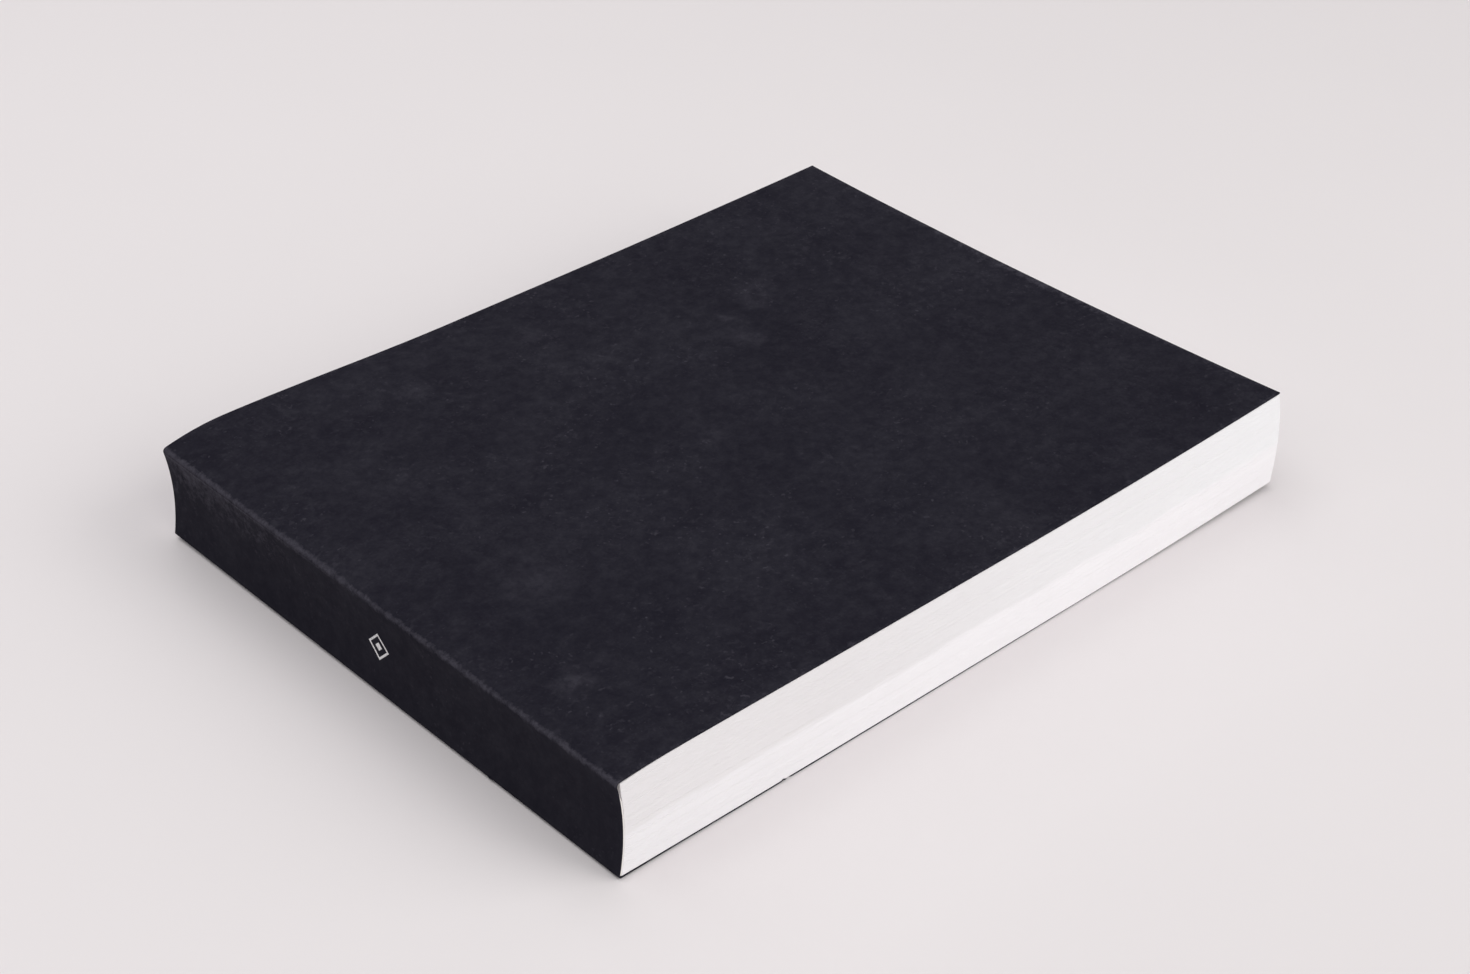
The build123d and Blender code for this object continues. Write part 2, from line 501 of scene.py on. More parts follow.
# Rubs on the front cover: X, Y, radius and strength of each
RUBS = (
    (0.084, 0.074, 0.007, 0.13), (-0.109, -0.059, 0.005, 0.34), (0.052, 0.048, 0.007, 0.20),
    (-0.057, 0.071, 0.005, 0.20), (0.033, 0.030, 0.005, 0.24), (-0.012, 0.073, 0.0045, 0.15),
    (-0.0895, -0.022, 0.009, 0.19), (-0.010, -0.001, 0.003, 0.20), (0.036, 0.042, 0.003, 0.22),
    (0.105, -0.049, 0.0045, 0.16),
)


def card_flecks(tree, where):
    """Pale wisps and dots in loose clusters, from 0 to 1."""
    loose = noise(tree, where, scale=40, detail=3, roughness=0.6)
    cluster = ramp(tree, loose, span=(0.42, 0.62), to=(0.12, 1.0))
    wisps = ramp(tree, noise(tree, where, scale=480, detail=2, roughness=0.6, warp=0.4), span=(0.57, 0.70))
    dots = ramp(tree, noise(tree, where, scale=700, detail=1), span=(0.68, 0.76))
    wispy = times(tree, times(tree, wisps, cluster), WISP_SHARE)
    return plus(tree, wispy, times(tree, times(tree, dots, cluster), DOT_SHARE))


def card_rubs(tree, where, cover, flecks):
    """Flecks with the front cover's rubs added: patchy spots with strayed outlines, on outer faces."""
    patches = noise(tree, where, scale=300, detail=3, roughness=0.7)
    patchy = ramp(tree, patches, span=(0.36, 0.6), to=(0.15, 1.0))
    patchy = times(tree, attribute(tree, "outside"), patchy)
    drift = add(tree, "TexNoise", {"Vector": where, "Scale": 130, "Detail": 3}).outputs["Color"]
    reach = {0: drift, 1: (RUB_STRAY, RUB_STRAY, 0.0), 2: where}
    strayed = add(tree, "VectorMath", reach, operation="MULTIPLY_ADD").outputs[0]
    for x, y, radius, strength in RUBS:
        centre = x + RUB_STRAY / 2, y + RUB_STRAY / 2, front_level(cover)
        apart = add(tree, "VectorMath", {0: strayed, 1: centre}, operation="DISTANCE").outputs["Value"]
        rub = ramp(tree, apart, span=(RUB_RIM * radius, RUB_CORE * radius), to=(0.0, RUB_GAIN * strength))
        flecks = plus(tree, flecks, times(tree, rub, patchy))
    return flecks


def black_card(cover):
    """Dyed-through uncoated card: black, softly clouded and finely speckled, with pale flecks, a few rubs,
    and grey where the point attribute for wear and sheen is high, which is worn card and also a painted
    highlight on the folds and painted sheen high on the spine towards the head; the calm attribute weakens
    mottling and flecks. The pattern lies on the points' places at rest, so it moves with a cover that is
    opened."""
    material, tree, shader = new_material("black_uncoated_card")
    where = add(tree, "Attribute", attribute_name="rest").outputs["Vector"]
    calm = attribute(tree, "calm")
    cloud = ramp(tree, noise(tree, where, scale=32, detail=2), MOST)
    speckle = noise(tree, where, scale=200, detail=3, roughness=0.85, warp=0.15)
    speckled = times(tree, ramp(tree, speckle, SPECKLE_SPAN), SPECKLE_SHARE)
    tone = plus(tree, times(tree, cloud, CLOUD_SHARE), speckled)
    tone = add(tree, "Math", {0: tone, 1: CONTRAST}, operation="POWER").outputs[0]
    calmed = add(tree, "Mix", {0: calm, 2: tone, 3: CALM_TONE}).outputs[0]
    toned = mix(tree, calmed, cover.dark, cover.light)
    lively = ramp(tree, calm, span=(0.0, 1.0), to=(1.0, 0.0))
    flecks = times(tree, card_flecks(tree, where), lively)
    flecked = mix(tree, card_rubs(tree, where, cover, flecks), toned, cover.worn_and_sheen)
    # Grey where the card is worn and where a highlight is painted on the folds and sheen high on the spine,
    # broken up by the grain
    grain = noise(tree, where, scale=320, detail=4, roughness=0.85)
    uneven = ramp(tree, grain, span=(0.32, 0.68), to=(-0.5, 0.34))
    worn_and_sheen = ramp(tree, plus(tree, attribute(tree, "wear"), uneven), span=(0.25, 1.0))
    fibres = bump(tree, noise(tree, where, scale=2200, detail=2), strength=0.25, distance=0.00003)
    connect(tree, shader, gloss=0.055,
            Base_Color=mix(tree, worn_and_sheen, flecked, cover.worn_and_sheen),
            Roughness=ramp(tree, speckle, MOST, to=(0.94, 0.80)),
            Normal=bump(tree, speckle, strength=0.2, distance=0.00006, under=fibres))
    return material


def shared_card(context):
    """The one card material of all parts of the cover."""
    return bpy.data.materials.get("black_uncoated_card") or black_card(context.scene.book_cover)


# Leaves: waves per metre along X, Y and up of the streaks and of the ragged border between the greyer upper
# leaves and the lower ones
STREAKS = (24, 24, 2600)
RAGGED = (60, 60, 900)
BORDER = 0.02  # half the border's height, in shares of the block's
LEAF_SHARE = 0.5  # how much of the tone is the leaf's own, the rest being streaks
# Painted shading of the leaf edges: darker near the spine and lighter towards the fore-edge, standing in for
# the light that falls from the right
SPINE_SHADE_TONE = 0.955  # tone of the lower leaves at the spine
SPINE_SHADE_SPAN = (-0.1, -0.02)  # X over which that dimming fades out
FORE_LIGHT_SPAN = (-0.06, 0.11)  # X over which the upper leaves turn cooler


def leaf_paper(pages):
    """Trimmed paper edges: each leaf has its own faint tone, streaked along its length.
    The upper leaves are greyer than the lower ones. Both are painted darker near the spine and lighter
    towards the fore-edge, standing in for the light that falls from the right, and the upper ones also turn
    cooler towards the fore-edge."""
    material, tree, shader = new_material("trimmed_leaf_paper")
    where = add(tree, "TexCoord").outputs["Object"]
    x = add(tree, "SeparateXYZ", {0: where}).outputs["X"]
    streak = noise(tree, where, scale=1.0, detail=4, roughness=0.6, stretch=STREAKS)
    ragged = noise(tree, where, scale=1.0, detail=3, roughness=0.6, stretch=RAGGED)
    height = plus(tree, attribute(tree, "height_share"), ramp(tree, ragged, MOST, to=(-BORDER, BORDER)))
    upper = ramp(tree, height, span=(pages.split - BORDER, pages.split + BORDER))
    # Painted shade near the spine and painted light towards the fore-edge
    lower_in_shade = [SPINE_SHADE_TONE * channel for channel in pages.lower]
    lower_tone = mix(tree, ramp(tree, x, SPINE_SHADE_SPAN), lower_in_shade, pages.lower)
    upper_tone = mix(tree, ramp(tree, x, FORE_LIGHT_SPAN), pages.upper, pages.upper_fore)
    leaf_colour_and_shade = mix(tree, upper, lower_tone, upper_tone)
    single = times(tree, attribute(tree, "leaf_tone"), LEAF_SHARE)
    shade = plus(tree, single, times(tree, ramp(tree, streak, MOST), 1 - LEAF_SHARE))
    shaded = toned_by(tree, leaf_colour_and_shade, ramp(tree, shade, span=(0.0, 1.0), to=(0.993, 1.005)))
    cloud = noise(tree, where, scale=28, detail=3)
    connect(tree, shader, gloss=0.2,
            Base_Color=toned_by(tree, shaded, ramp(tree, cloud, MOST, to=(0.988, 1.008))),
            Roughness=ramp(tree, streak, NEARLY_ALL, to=(0.82, 0.95)),
            Normal=bump(tree, streak, strength=0.15, distance=0.00003))
    return material


GLUE_DEEP = (0.74, 0.71, 0.69)
GLUE_PALE = (0.83, 0.80, 0.79)


def dried_glue():
    """Milky binding adhesive with small bubbles and a slight gloss."""
    material, tree, shader = new_material("binding_adhesive")
    where = add(tree, "TexCoord").outputs["Object"]
    cloud = noise(tree, where, scale=260, detail=3)
    bubbles = noise(tree, where, scale=900, detail=3)
    connect(tree, shader, gloss=0.4,
            Base_Color=mix(tree, ramp(tree, cloud, MOST), GLUE_DEEP, GLUE_PALE),
            Roughness=ramp(tree, cloud, NEARLY_ALL, to=(0.4, 0.6)),
            Normal=bump(tree, bubbles, strength=0.3, distance=0.00008))
    return material


INK_SHADOW = 0.6  # tone of the ink where the card's grain shows through


def white_ink(mark):
    """Thin white print, a little uneven where the card's grain shows through."""
    material, tree, shader = new_material("white_print_ink")
    where = add(tree, "TexCoord").outputs["Object"]
    grain = noise(tree, where, scale=1600, detail=3, roughness=0.6)
    shadow = [INK_SHADOW * channel for channel in mark.ink]
    connect(tree, shader, gloss=0.5,
            Base_Color=mix(tree, ramp(tree, grain, span=(0.3, 0.5)), shadow, mark.ink),
            Roughness=ramp(tree, grain, NEARLY_ALL, to=(0.55, 0.75)),
            Normal=bump(tree, grain, strength=0.2, distance=0.00003))
    return material


def seen(tree):
    """1 for a ray from the camera, straight or by way of gloss or glass, and 0 for any other."""
    rays = add(tree, "LightPath").outputs
    mirrored = plus(tree, rays["Is Glossy Ray"], rays["Is Transmission Ray"])
    return plus(tree, rays["Is Camera Ray"], mirrored)


FLOOR_CLOUD = 0.985  # tone of the floor's clouds


def floor_paper(stage):
    """Pale seamless paper, faintly clouded, which shows the camera its plain colour far from the book."""
    material, tree, shader = new_material("seamless_floor_paper")
    where = add(tree, "TexCoord").outputs["Object"]
    cloud = noise(tree, where, scale=5, detail=3)
    deep = [FLOOR_CLOUD * channel for channel in stage.floor]
    connect(tree, shader, gloss=0.1,
            Base_Color=mix(tree, ramp(tree, cloud, MOST), deep, stage.floor),
            Roughness=ramp(tree, cloud, MOST, to=(0.9, 0.95)))
    apart = add(tree, "VectorMath", {0: where}, operation="LENGTH").outputs["Value"]
    afar = times(tree, ramp(tree, apart, stage.fade), seen(tree))
    plain = add(tree, "Emission", {"Color": (*stage.floor, 1.0)}).outputs[0]
    faded = add(tree, "MixShader", {0: afar, 1: shader.outputs[0], 2: plain}).outputs[0]
    tree.links.new(faded, tree.nodes["Material Output"].inputs["Surface"])
    return material


# Covers

# Grids: rows round a fold, rows out from it and their crowding, and columns along the spine
FOLD_ROWS = 10
PANEL_ROWS = 140
PANEL_PULL = 0.75
COLUMNS = 110

# Faults of the back cover: a nick and a torn fibre in its tail edge and a burr on its fold
NICK_X = -0.0686
NICK_DEPTH = 0.0005
NICK_REACH = 0.0006
FIBRE_X = -0.0705
FIBRE_HEIGHT = 0.0006
FIBRE_LEAN = 0.00025
FIBRE_REACH = 0.0005
BURR_Y = -0.0456
BURR_HEIGHT = 0.0003
BURR_REACH = 0.0006
RECESS_FROM = -0.07  # X where the tail edge begins to draw in
RECESS_RUN = 0.19  # length over which it does
FAULT_DEPTH = 0.0012  # how far the faults reach in from an edge
FAULT_LINES = 21  # grid lines added at each of them
FAULT_SPAN = 0.003  # half the width that they cover beside the nick
BURR_SPAN = 0.0015  # and beside the burr

# Wear and painted highlight: the ridge on each fold, which is worn card and partly a painted highlight,
# specks of wear on the cut edges, and the thumbed middle of the fore-edge
RIDGE_IN = 0.3  # place of the ridge, in fold radii from the hinge line
RIDGE_UP = 0.7
RIDGE_REACH = 0.001
RIDGE_WEAR_AND_SHEEN = 0.88
RIDGE_HEAD = 0.12  # more of it at the head
RIDGE_BACK = 0.35
SPECK_WEAR = 0.42
SPECK_REACH = 0.0012
THUMB_WEAR = 0.36
THUMB_SPAN = 0.045
THUMB_REACH = 0.009

# Where the point beside each fold on the cover's side lies, in fold radii from the hinge line
BEND_OUT = 2.4
BEND_UP = 1.4


def panel_lines(side):
    """Shares of the way from fold to fore-edge, and Y from tail to head; more at the back's faults."""
    out = crowded(PANEL_ROWS, PANEL_PULL)[1:]
    y = np.linspace(TAIL, HEAD, COLUMNS)
    if side == BACK:
        close = np.linspace(-1, 1, FAULT_LINES)
        beside = (FIBRE_X + NICK_X) / 2 + FAULT_SPAN * close
        out = np.union1d(out, (beside - BACK_HINGE[0]) / (BACK_FORE_EDGE - BACK_HINGE[0]))
        at_tail = TAIL + FAULT_DEPTH * (1 + close) / 2
        y = np.union1d(y, np.concatenate((at_tail, BURR_Y + BURR_SPAN * close)))
    return out[:, None], y[None, :]


def panel(cover, side, depth):
    """Grid of one cover at a depth: round its fold, then out to the fore-edge; tail to head across."""
    out, y = panel_lines(side)
    turn = np.linspace(0, 1, FOLD_ROWS)[:, None]
    fold_x, fold_z = fold_line(cover, side, slope_of(cover, side, y), turn, depth)
    x = fold_x[-1:] + out * (fore_edge_of(side) - fold_x[-1:])
    # The end of the fold lies a little off the cover's curve, which is drawn to it
    height = front_height if side == FRONT else back_height
    miss = fold_z[-1:] - height(cover, fold_x[-1:], y, depth)
    z = height(cover, x, y, depth) + miss * (1 - smooth((x - fold_x[-1:]) / cover.swell_reach))
    if side == FRONT:
        z = z + cover.ripple * (1 + waves(x, y)) * smooth((x - FRONT_HINGE[0]) / cover.level_reach)
    x = np.concatenate((fold_x, x))
    z = np.concatenate((fold_z, z))
    points = np.stack((x, np.broadcast_to(y, x.shape), z), axis=-1)
    return settled(cover, points if side == FRONT else torn(cover, points))


def torn(cover, points):
    """Back cover with its faults: the tail edge drawn in under the leaves from mid-width to the fore-edge, a
    nick in that edge, a torn fibre standing up beside it in front of the leaves, and a burr on the fold."""
    x, y, z = np.moveaxis(points, -1, 0)
    at_tail = np.clip(1 - (y - TAIL) / FAULT_DEPTH, 0, 1) ** 2
    at_fold = np.clip(1 - (x - BACK_HINGE[0]) / FAULT_DEPTH, 0, 1)
    nick = NICK_DEPTH * hump(x, NICK_X, NICK_REACH)
    drawn_in = cover.recess * smooth((x - RECESS_FROM) / RECESS_RUN) + nick
    stands = hump(x, FIBRE_X, FIBRE_REACH) * at_tail**3
    burr = BURR_HEIGHT * hump(y, BURR_Y, BURR_REACH) * at_fold
    along = y + drawn_in * at_tail - FIBRE_LEAN * stands
    return np.stack((x - burr, along, z + FIBRE_HEIGHT * stands), axis=-1)


def panel_wear(cover, points, side):
    """Wear and painted highlight from 0 to 1: a narrow ridge along the outside of the fold, worn and partly
    a painted highlight, heaviest at the head, and specks of wear along the three cut edges, most of them
    half-way along the fore-edge."""
    hinge, fold = fold_of(cover, side)
    x, y, z = np.moveaxis(points, -1, 0)
    away = np.hypot(x - hinge[0] - RIDGE_IN * fold, z - hinge[1] - side * RIDGE_UP * fold)
    strength = RIDGE_WEAR_AND_SHEEN + RIDGE_HEAD * smooth(y / HEAD) if side == FRONT else RIDGE_BACK
    to_fore = fore_edge_of(side) - x
    to_edge = np.minimum(to_fore, HEAD - np.abs(y))
    specks = SPECK_WEAR * np.exp(-to_edge / SPECK_REACH)
    thumbed = THUMB_WEAR * hump(y, 0.0, THUMB_SPAN) * np.exp(-to_fore / THUMB_REACH)
    return np.clip(strength * hump(away, 0.0, RIDGE_REACH) + specks + thumbed, 0, 1)


def make_cover(context, name, side):
    """One cover as a closed card sheet, and two points: one on its hinge line and one beside its fold on the
    cover's side.
    """
    cover = context.scene.book_cover
    outer, inner = panel(cover, side, 0.0), panel(cover, side, cover.card)
    points, faces = wall(outer, inner)
    if side == BACK:
        faces = faces[:, ::-1]
    outside = np.arange(len(points)) < outer[..., 0].size
    wear = np.concatenate((panel_wear(cover, outer, side).ravel(), np.zeros(inner[..., 0].size)))
    piece = make_piece(name, points, faces, shared_card(context), wear=wear, outside=outside)
    hinge, fold = fold_of(cover, side)
    spine_side = hinge[0], 0.0, hinge[1]
    cover_side = hinge[0] + BEND_OUT * fold, 0.0, hinge[1] + side * BEND_UP * fold
    return piece, spine_side, cover_side


class BOOK_OT_front_cover(bpy.types.Operator):
    """Front cover: folded card that swells beside the spine and rises to the fore-edge"""

    bl_idname = "book.front_cover"
    bl_label = "Front cover"

    def execute(self, context):
        piece, spine_side, cover_side = make_cover(context, "front_cover_card", FRONT)
        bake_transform(piece)
        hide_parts("front_cover")
        return {"FINISHED"}


class BOOK_OT_back_cover(bpy.types.Operator):
    """Back cover: folded card that lies flat under the leaves"""

    bl_idname = "book.back_cover"
    bl_label = "Back cover"

    def execute(self, context):
        piece, spine_side, cover_side = make_cover(context, "back_cover_card", BACK)
        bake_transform(piece)
        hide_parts("back_cover")
        return {"FINISHED"}


# Spine

SPINE_SHARES = np.linspace(0, 1, 48)[:, None]  # rows up the arc
SPINE_CALM = 0.4  # how much weaker the card's mottling is here

# Wear and painted light: a ridge under the front fold, worn and partly a painted highlight, and a broad band
# of painted sheen that grows towards the head
TOP_WEAR_AND_SHEEN = 0.5
TOP_ABOVE = 0.0003  # middle of the ridge above the hinge line
TOP_REACH = 0.0009
BAND_SHEEN = 0.68
BAND_DROP = 0.012
BAND_FROM = -0.01  # Y where the band begins
BAND_RUN = 0.1  # length over which it grows

# Adhesive: how much of it is pressed away under the front fold, over this share of the spine's height
GLUE_LOSS = 0.95
GLUE_TAPER = 0.12


def spine_layer(cover, depth):
    """Grid of one face of the spine at a depth under the outer face: up the arc, then tail to head.
    The depth is one value, or one for each row."""
    y = np.linspace(TAIL, HEAD, COLUMNS)[None, :]
    x, z = spine_line(cover, SPINE_SHARES, depth)
    return settled(cover, np.stack(np.broadcast_arrays(x, y, z), axis=-1))


def spine_wear(points):
    """Wear and painted light from 0 to 1: a bell curve under the front fold, worn and partly a painted
    highlight, and a wider one of painted sheen that grows to the head.
    """
    below = FRONT_HINGE[1] - points[:, 2]
    to_head = smooth((points[:, 1] - BAND_FROM) / BAND_RUN)
    ridge = TOP_WEAR_AND_SHEEN * hump(below, -TOP_ABOVE, TOP_REACH)
    return np.clip(ridge + BAND_SHEEN * to_head * hump(below, 0.0, BAND_DROP), 0, 1)


class BOOK_OT_spine(bpy.types.Operator):
    """Spine of the cover, drawn in at mid-height"""

    bl_idname = "book.spine"
    bl_label = "Spine"

    def execute(self, context):
        cover = context.scene.book_cover
        points, faces = wall(spine_layer(cover, 0.0), spine_layer(cover, cover.card))
        wear, calm = spine_wear(points), np.full(len(points), SPINE_CALM)
        piece = make_piece("spine_card", points, faces, shared_card(context), wear=wear, calm=calm)
        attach(piece, "book_block")
        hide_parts("spine_cover")
        return {"FINISHED"}


class BOOK_OT_adhesive(bpy.types.Operator):
    """Adhesive between the spine and the bound leaves, pressed thin under the front fold"""

    bl_idname = "book.adhesive"
    bl_label = "Adhesive"

    def execute(self, context):
        cover, pages = context.scene.book_cover, context.scene.book_pages
        loss = GLUE_LOSS * smooth((SPINE_SHARES - pages.tuck_from) / GLUE_TAPER)
        depth = cover.card + GLUE * (1 - loss)
        points, faces = wall(spine_layer(cover, cover.card), spine_layer(cover, depth))
        piece = make_piece("adhesive_film", points, faces, dried_glue())
        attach(piece, "book_block")
        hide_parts("spine_glue")
        return {"FINISHED"}


# Leaves

# Grid of a leaf: steps from the bound side to the fore-edge and their crowding, and steps along the spine
ACROSS = 54
ACROSS_PULL = 0.65
ALONG = 20
MIDDLE_TONE = 0.5  # tone of the outermost leaves' flat sides
LEAF_ROWS = (0.1, 0.9)  # rows on a leaf's edge, in shares of its thickness

# Stray edges: a gathering's leaves and its share, the most that a leaf strays, and waves along an edge
SEED = 7
TRIMMED_SIDES = 3
GATHERING = 16
GATHERED = 0.7
MOST_JITTERS = 3
WANDER = 0.5
WANDER_ACROSS = 5
WANDER_ALONG = 9


def page_edges(cover, pages, v):
    """X of the bound side and of the fore-edge at a share of the block's height.
    The bound side follows the spine's arc; the fore-edge leans from the back cover's edge to the front one's
    and bulges out between them by a parabola."""
    bound, _ = spine_line(cover, v, cover.card + GLUE + pages.seat)
    tucked = pages.tuck * np.clip((v - pages.tuck_from) / (1 - pages.tuck_from), 0, 1) ** 2
    fore = BACK_FORE_EDGE + v * (FRONT_FORE_EDGE - BACK_FORE_EDGE) + 4 * pages.bulge * v * (1 - v)
    return bound + tucked, fore


def page_points(cover, pages, s, t, v, stray=(0, 0)):
    """Points inside the block: s runs from the bound side to the fore-edge, t from tail to head and v up.
    Height goes evenly from the back cover's leaf to the front cover's; stray moves X and Y."""
    y = TAIL + t * (HEAD - TAIL)
    bound, fore = page_edges(cover, pages, v)
    x = bound + s * (fore - bound)
    depth = cover.card + pages.gap
    low, high = back_height(cover, x, y, depth), front_height(cover, x, y, depth)
    z = low + v * (high - low)
    return settled(cover, np.stack(np.broadcast_arrays(x + stray[0], y + stray[1], z), axis=-1))


def leaf_strays(pages, draw):
    """How far each leaf's edge strays at tail, fore-edge and head: by itself and with its gathering."""
    single = draw.normal(0, pages.jitter, (TRIMMED_SIDES, pages.leaves))
    gatherings = TRIMMED_SIDES, pages.leaves // GATHERING + 1
    gathered = np.repeat(draw.normal(0, GATHERED * pages.jitter, gatherings), GATHERING, axis=1)
    most = MOST_JITTERS * pages.jitter
    return np.clip(single + gathered[:, :pages.leaves], -most, most)


def round_block(s_line, t_line):
    """Shares across and along, once round the block: tail, fore-edge, head and bound side."""
    s = np.concatenate((s_line[:-1], np.ones(ALONG), s_line[:0:-1], np.zeros(ALONG)))
    t = np.concatenate((np.zeros(ACROSS), t_line[:-1], np.ones(ACROSS), t_line[:0:-1]))
    return s[None, :], t[None, :]


def sheet_numbers(loop, first):
    """Vertex numbers of an outermost leaf: its border is a row of the sides, and its inside counts on."""
    sheet = np.zeros((ACROSS + 1, ALONG + 1), int)
    inside = sheet[1:-1, 1:-1]
    inside[:] = first + np.arange(inside.size).reshape(inside.shape)
    tail, fore, head, bound = np.split(loop, np.cumsum((ACROSS, ALONG, ACROSS)))
    sheet[:-1, 0] = tail
    sheet[-1, :-1] = fore
    sheet[:0:-1, -1] = head
    sheet[0, :0:-1] = bound
    return sheet


class BOOK_OT_pages(bpy.types.Operator):
    """Block of leaves, every one with its own trimmed edge"""

    bl_idname = "book.pages"
    bl_label = "Leaves"

    def execute(self, context):
        cover, pages = context.scene.book_cover, context.scene.book_pages
        draw = np.random.default_rng(SEED)
        s_line, t_line = crowded(ACROSS + 1, ACROSS_PULL), np.linspace(0, 1, ALONG + 1)
        s, t = round_block(s_line, t_line)
        # Two rows for each leaf, with a narrow step from leaf to leaf
        leaf = np.repeat(np.arange(pages.leaves), len(LEAF_ROWS))
        v = (leaf + np.tile(LEAF_ROWS, pages.leaves)) / pages.leaves
        v[[0, -1]] = 0, 1
        tail, fore, head = leaf_strays(pages, draw)[:, leaf, None]
        wander = 1 + WANDER * np.sin(WANDER_ACROSS * s + WANDER_ALONG * t + leaf[:, None])
        strays = (s == 1) * fore * wander, ((t == 1) * head - (t == 0) * tail) * wander
        sides = page_points(cover, pages, s, t, v[:, None], strays)
        numbers = np.arange(sides[..., 0].size).reshape(sides.shape[:2])
        ring = np.concatenate((numbers, numbers[:, :1]), axis=1)
        points, faces = [sides.reshape(-1, 3)], [quads(ring)[:, ::-1]]
        tones = [np.repeat(draw.uniform(0, 1, pages.leaves)[leaf], s.size)]
        heights = [np.repeat(v, s.size)]
        for row, share in ((0, 0.0), (-1, 1.0)):
            inside = page_points(cover, pages, s_line[1:-1, None], t_line[None, 1:-1], share).reshape(-1, 3)
            sheet = quads(sheet_numbers(numbers[row], sum(len(group) for group in points)))
            faces.append(sheet if share else sheet[:, ::-1])
            points.append(inside)
            tones.append(np.full(len(inside), MIDDLE_TONE))
            heights.append(np.full(len(inside), share))
        piece = make_piece("leaf_block", np.concatenate(points), np.concatenate(faces), leaf_paper(pages),
                           leaf_tone=np.concatenate(tones), height_share=np.concatenate(heights))
        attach(piece, "book_block")
        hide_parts("page_block")
        return {"FINISHED"}


# Spine mark

MARK_POINTS = 80  # points round the outline
DOT_LINES = 9  # grid lines each way of the filled middle


def on_spine(cover, y, up, film):
    """Points on the spine, a way up its arc from mid-height and lifted off its outer face by the film."""
    centre, radius, ends = spine_arc(cover)
    turned = sum(ends) / 2 - up / radius
    x = centre[0] + (radius - film) * np.cos(turned)
    z = centre[1] + (radius - film) * np.sin(turned)
    return settled(cover, np.stack(np.broadcast_arrays(x, y, z), axis=-1))


def lozenge_loops(cover, mark, shares, film):
    """Loops of a lozenge on the spine, one per share of its size, on which |y|/w + |z|/h is constant."""
    angle = np.linspace(0, 2 * math.pi, MARK_POINTS, endpoint=False)
    span = np.abs(np.cos(angle)) + np.abs(np.sin(angle))
    across = np.cos(angle) / span * mark.width / 2
    up = np.sin(angle) / span * mark.height / 2
    shares, film = np.array(shares)[:, None], np.array(film)[:, None]
    return on_spine(cover, shares * across, shares * up, film)


def lozenge_middle(cover, mark, film):
    """Grid of the filled lozenge at the mark's centre: a square grid turned on its corner."""
    side = np.linspace(-mark.dot / 2, mark.dot / 2, DOT_LINES)
    first, second = np.meshgrid(side, side, indexing="ij")
    return on_spine(cover, (first - second) * mark.width / 2, (first + second) * mark.height / 2, film)


class BOOK_OT_mark(bpy.types.Operator):
    """Plain lozenge with a filled middle, printed on the spine"""

    bl_idname = "book.mark"
    bl_label = "Spine mark"

    def execute(self, context):
        cover, mark = context.scene.book_cover, context.scene.book_mark
        top, under = mark.film, -mark.film
        inside = 1 - mark.stroke
        outline = lozenge_loops(cover, mark, (1, 1, inside, inside), (under, top, top, under))
        numbers = np.arange(outline[..., 0].size).reshape(outline.shape[:2])
        ring = quads(np.pad(numbers, (0, 1), mode="wrap"))[:, ::-1]
        dot_points, dot_faces = wall(lozenge_middle(cover, mark, top), lozenge_middle(cover, mark, under))
        points = np.concatenate((outline.reshape(-1, 3), dot_points))
        faces = np.concatenate((ring, dot_faces + numbers.size))
        piece = make_piece("spine_mark", points, faces, white_ink(mark))
        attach(piece, "book_block")
        return {"FINISHED"}


# Stage

PLAIN = (1.0, 1.0, 1.0)
WARM = (1.0, 0.995, 0.965)
# Places and colours of the soft lamps: the two near ones, then the two far ones
LAMPS = {
    "soft_left": ((-0.9, 0.0, 1.4), PLAIN),
    "soft_behind": ((0.0, 0.9, 1.4), PLAIN),
    "soft_front": ((0.0, -2.4, 1.6), WARM),
    "soft_right": ((1.6, -2.0, 1.5), WARM),
}
SENSOR = 36.0  # width in millimetres
VIEW_RANGE = (0.01, 50.0)  # nearest and farthest that the camera sees


def studio_world(stage):
    """Even light from all round; the camera sees the floor's colour there instead."""
    world = bpy.data.worlds.new("studio")
    world.use_nodes = True
    tree = world.node_tree
    sky = tree.nodes["Background"]
    sky.inputs["Color"].default_value = (*stage.sky_tint, 1.0)
    sky.inputs["Strength"].default_value = stage.sky
    plain = add(tree, "Background", {"Color": (*stage.floor, 1.0)}).outputs[0]
    shown = add(tree, "MixShader", {0: seen(tree), 1: sky.outputs[0], 2: plain}).outputs[0]
    tree.links.new(shown, tree.nodes["World Output"].inputs["Surface"])
    return world


def make_floor(stage):
    """Flat square of paper under the book."""
    edge = np.array((-0.5, 0.5)) * stage.floor_size
    x, y = np.meshgrid(edge, edge, indexing="ij")
    points = np.stack((x, y, np.zeros_like(x)), axis=-1).reshape(-1, 3)
    return make_piece("floor", points, quads(np.arange(4).reshape(2, 2)), floor_paper(stage))


def add_lamp(scene, name, place, colour, size, spread, power):
    """Square soft lamp that faces the book."""
    lamp = bpy.data.lights.new(name, "AREA")
    lamp.size = size
    lamp.spread = spread
    lamp.energy = power
    lamp.color = colour
    stand = bpy.data.objects.new(name, lamp)
    moved = Matrix.Translation(place)
    stand.matrix_world = moved @ (-moved.translation).to_track_quat("-Z", "Y").to_matrix().to_4x4()
    scene.collection.objects.link(stand)


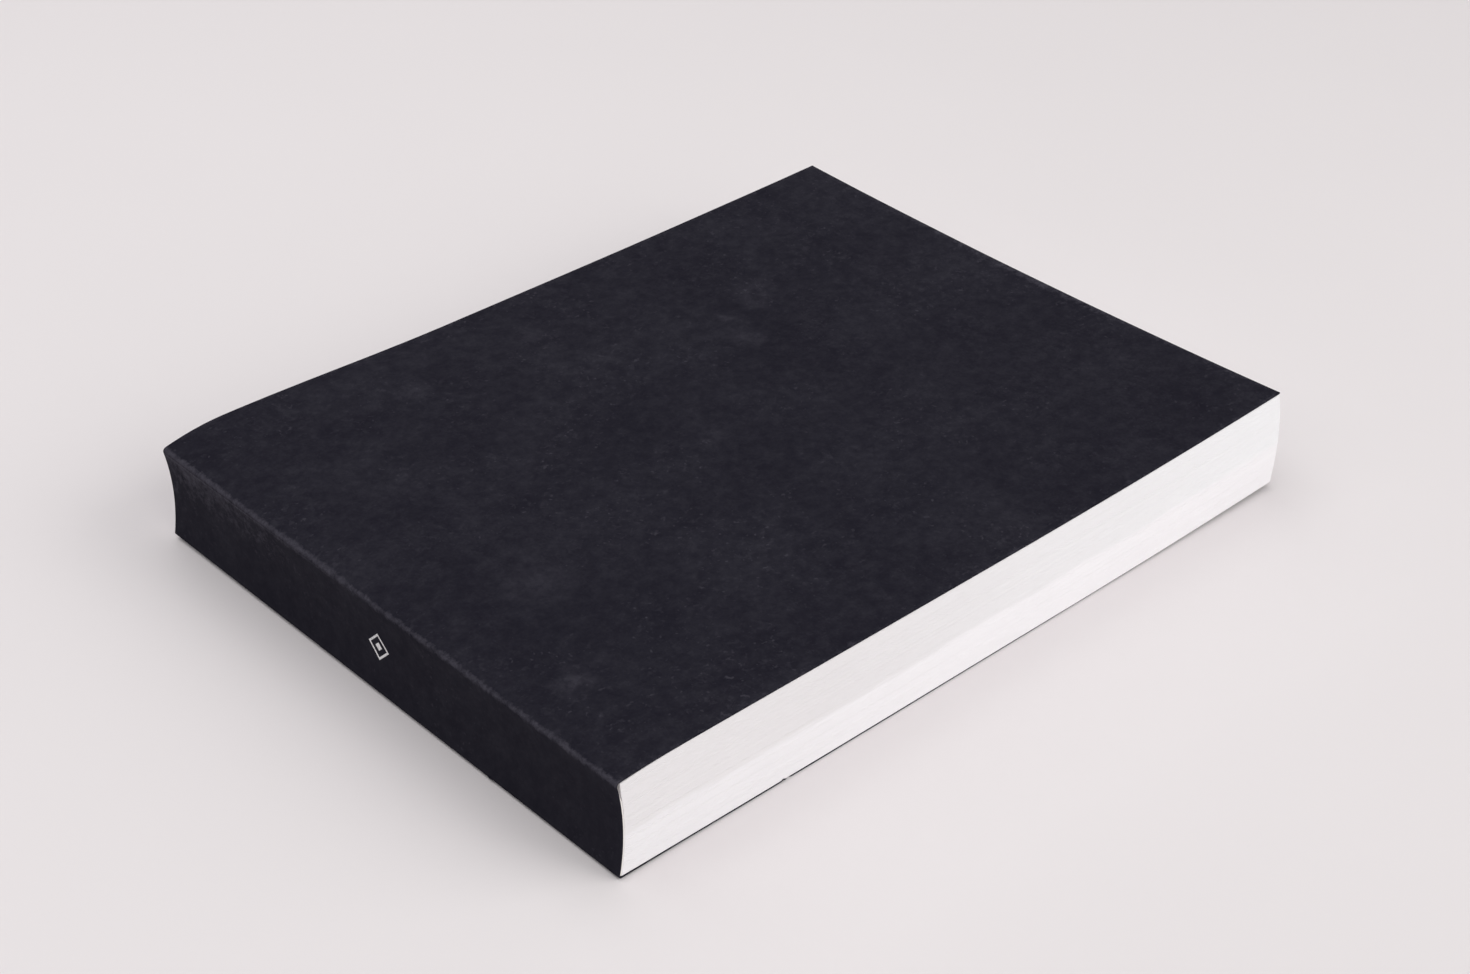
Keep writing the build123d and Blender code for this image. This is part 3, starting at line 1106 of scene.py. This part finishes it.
def add_camera(scene, stage):
    """Camera that stands, turns, tilts and rolls as the photograph's did."""
    turn, tilt = stage.azimuth, stage.elevation
    back = np.array((math.sin(turn) * math.cos(tilt), -math.cos(turn) * math.cos(tilt), math.sin(tilt)))
    right = np.array((math.cos(turn), math.sin(turn), 0.0))
    up = np.cross(back, right)
    c, s = math.cos(stage.roll), math.sin(stage.roll)
    axes = np.stack((c * right + s * up, c * up - s * right, back, np.array(stage.eye)), axis=1)
    lens = bpy.data.cameras.new("photo_view")
    lens.sensor_fit = "HORIZONTAL"
    lens.sensor_width = SENSOR
    lens.lens = stage.lens
    lens.clip_start, lens.clip_end = VIEW_RANGE
    camera = bpy.data.objects.new("photo_view", lens)
    camera.matrix_world = Matrix((*axes.tolist(), (0, 0, 0, 1)))
    scene.collection.objects.link(camera)
    scene.camera = camera


class BOOK_OT_stage(bpy.types.Operator):
    """Paper floor, even light with four soft lamps, and the camera"""

    bl_idname = "book.stage"
    bl_label = "Stage"

    def execute(self, context):
        scene, stage = context.scene, context.scene.book_stage
        floor = make_floor(stage)
        scene.world = studio_world(stage)
        sizes, spreads = np.repeat(stage.lamp_sizes, 2), np.repeat(stage.lamp_spreads, 2)
        powers = *stage.near_lamps, *stage.far_lamps
        for (name, lamp), *kind in zip(LAMPS.items(), sizes, spreads, powers):
            add_lamp(scene, name, *lamp, *kind)
        add_camera(scene, stage)
        scene.view_settings.view_transform = "Standard"
        return {"FINISHED"}


# Add-on

class BOOK_PT_panel(bpy.types.Panel):
    """The book's pieces, in the order in which they are made, and their settings"""

    bl_label = "Soft-cover book"
    bl_idname = "BOOK_PT_panel"
    bl_space_type = "VIEW_3D"
    bl_region_type = "UI"
    bl_category = "Book"

    def draw(self, context):
        for operator in OPERATORS:
            self.layout.operator(operator.bl_idname)
        for group in SETTINGS:
            settings = getattr(context.scene, group)
            for key in settings.bl_rna.properties.keys():
                if key not in ("rna_type", "name"):
                    self.layout.prop(settings, key)


OPERATORS = (
    BOOK_OT_pages, BOOK_OT_spine, BOOK_OT_adhesive, BOOK_OT_mark, BOOK_OT_back_cover, BOOK_OT_front_cover,
    BOOK_OT_stage,
)
SETTINGS = {
    "book_cover": CoverSettings,
    "book_pages": PageSettings,
    "book_mark": MarkSettings,
    "book_stage": StageSettings,
}


def register():
    """Registers the classes and hangs the settings on the scene."""
    for made in (*SETTINGS.values(), *OPERATORS, BOOK_PT_panel):
        bpy.utils.register_class(made)
    for name, group in SETTINGS.items():
        setattr(bpy.types.Scene, name, PointerProperty(type=group))


def unregister():
    """Takes settings and classes away again."""
    for name in SETTINGS:
        delattr(bpy.types.Scene, name)
    for made in (BOOK_PT_panel, *reversed(OPERATORS), *SETTINGS.values()):
        bpy.utils.unregister_class(made)


def main():
    register()
    bpy.ops.book.pages()
    bpy.ops.book.spine()
    bpy.ops.book.adhesive()
    bpy.ops.book.mark()
    bpy.ops.book.back_cover()
    bpy.ops.book.front_cover()
    bpy.ops.book.stage()


if __name__ == "__main__":
    main()
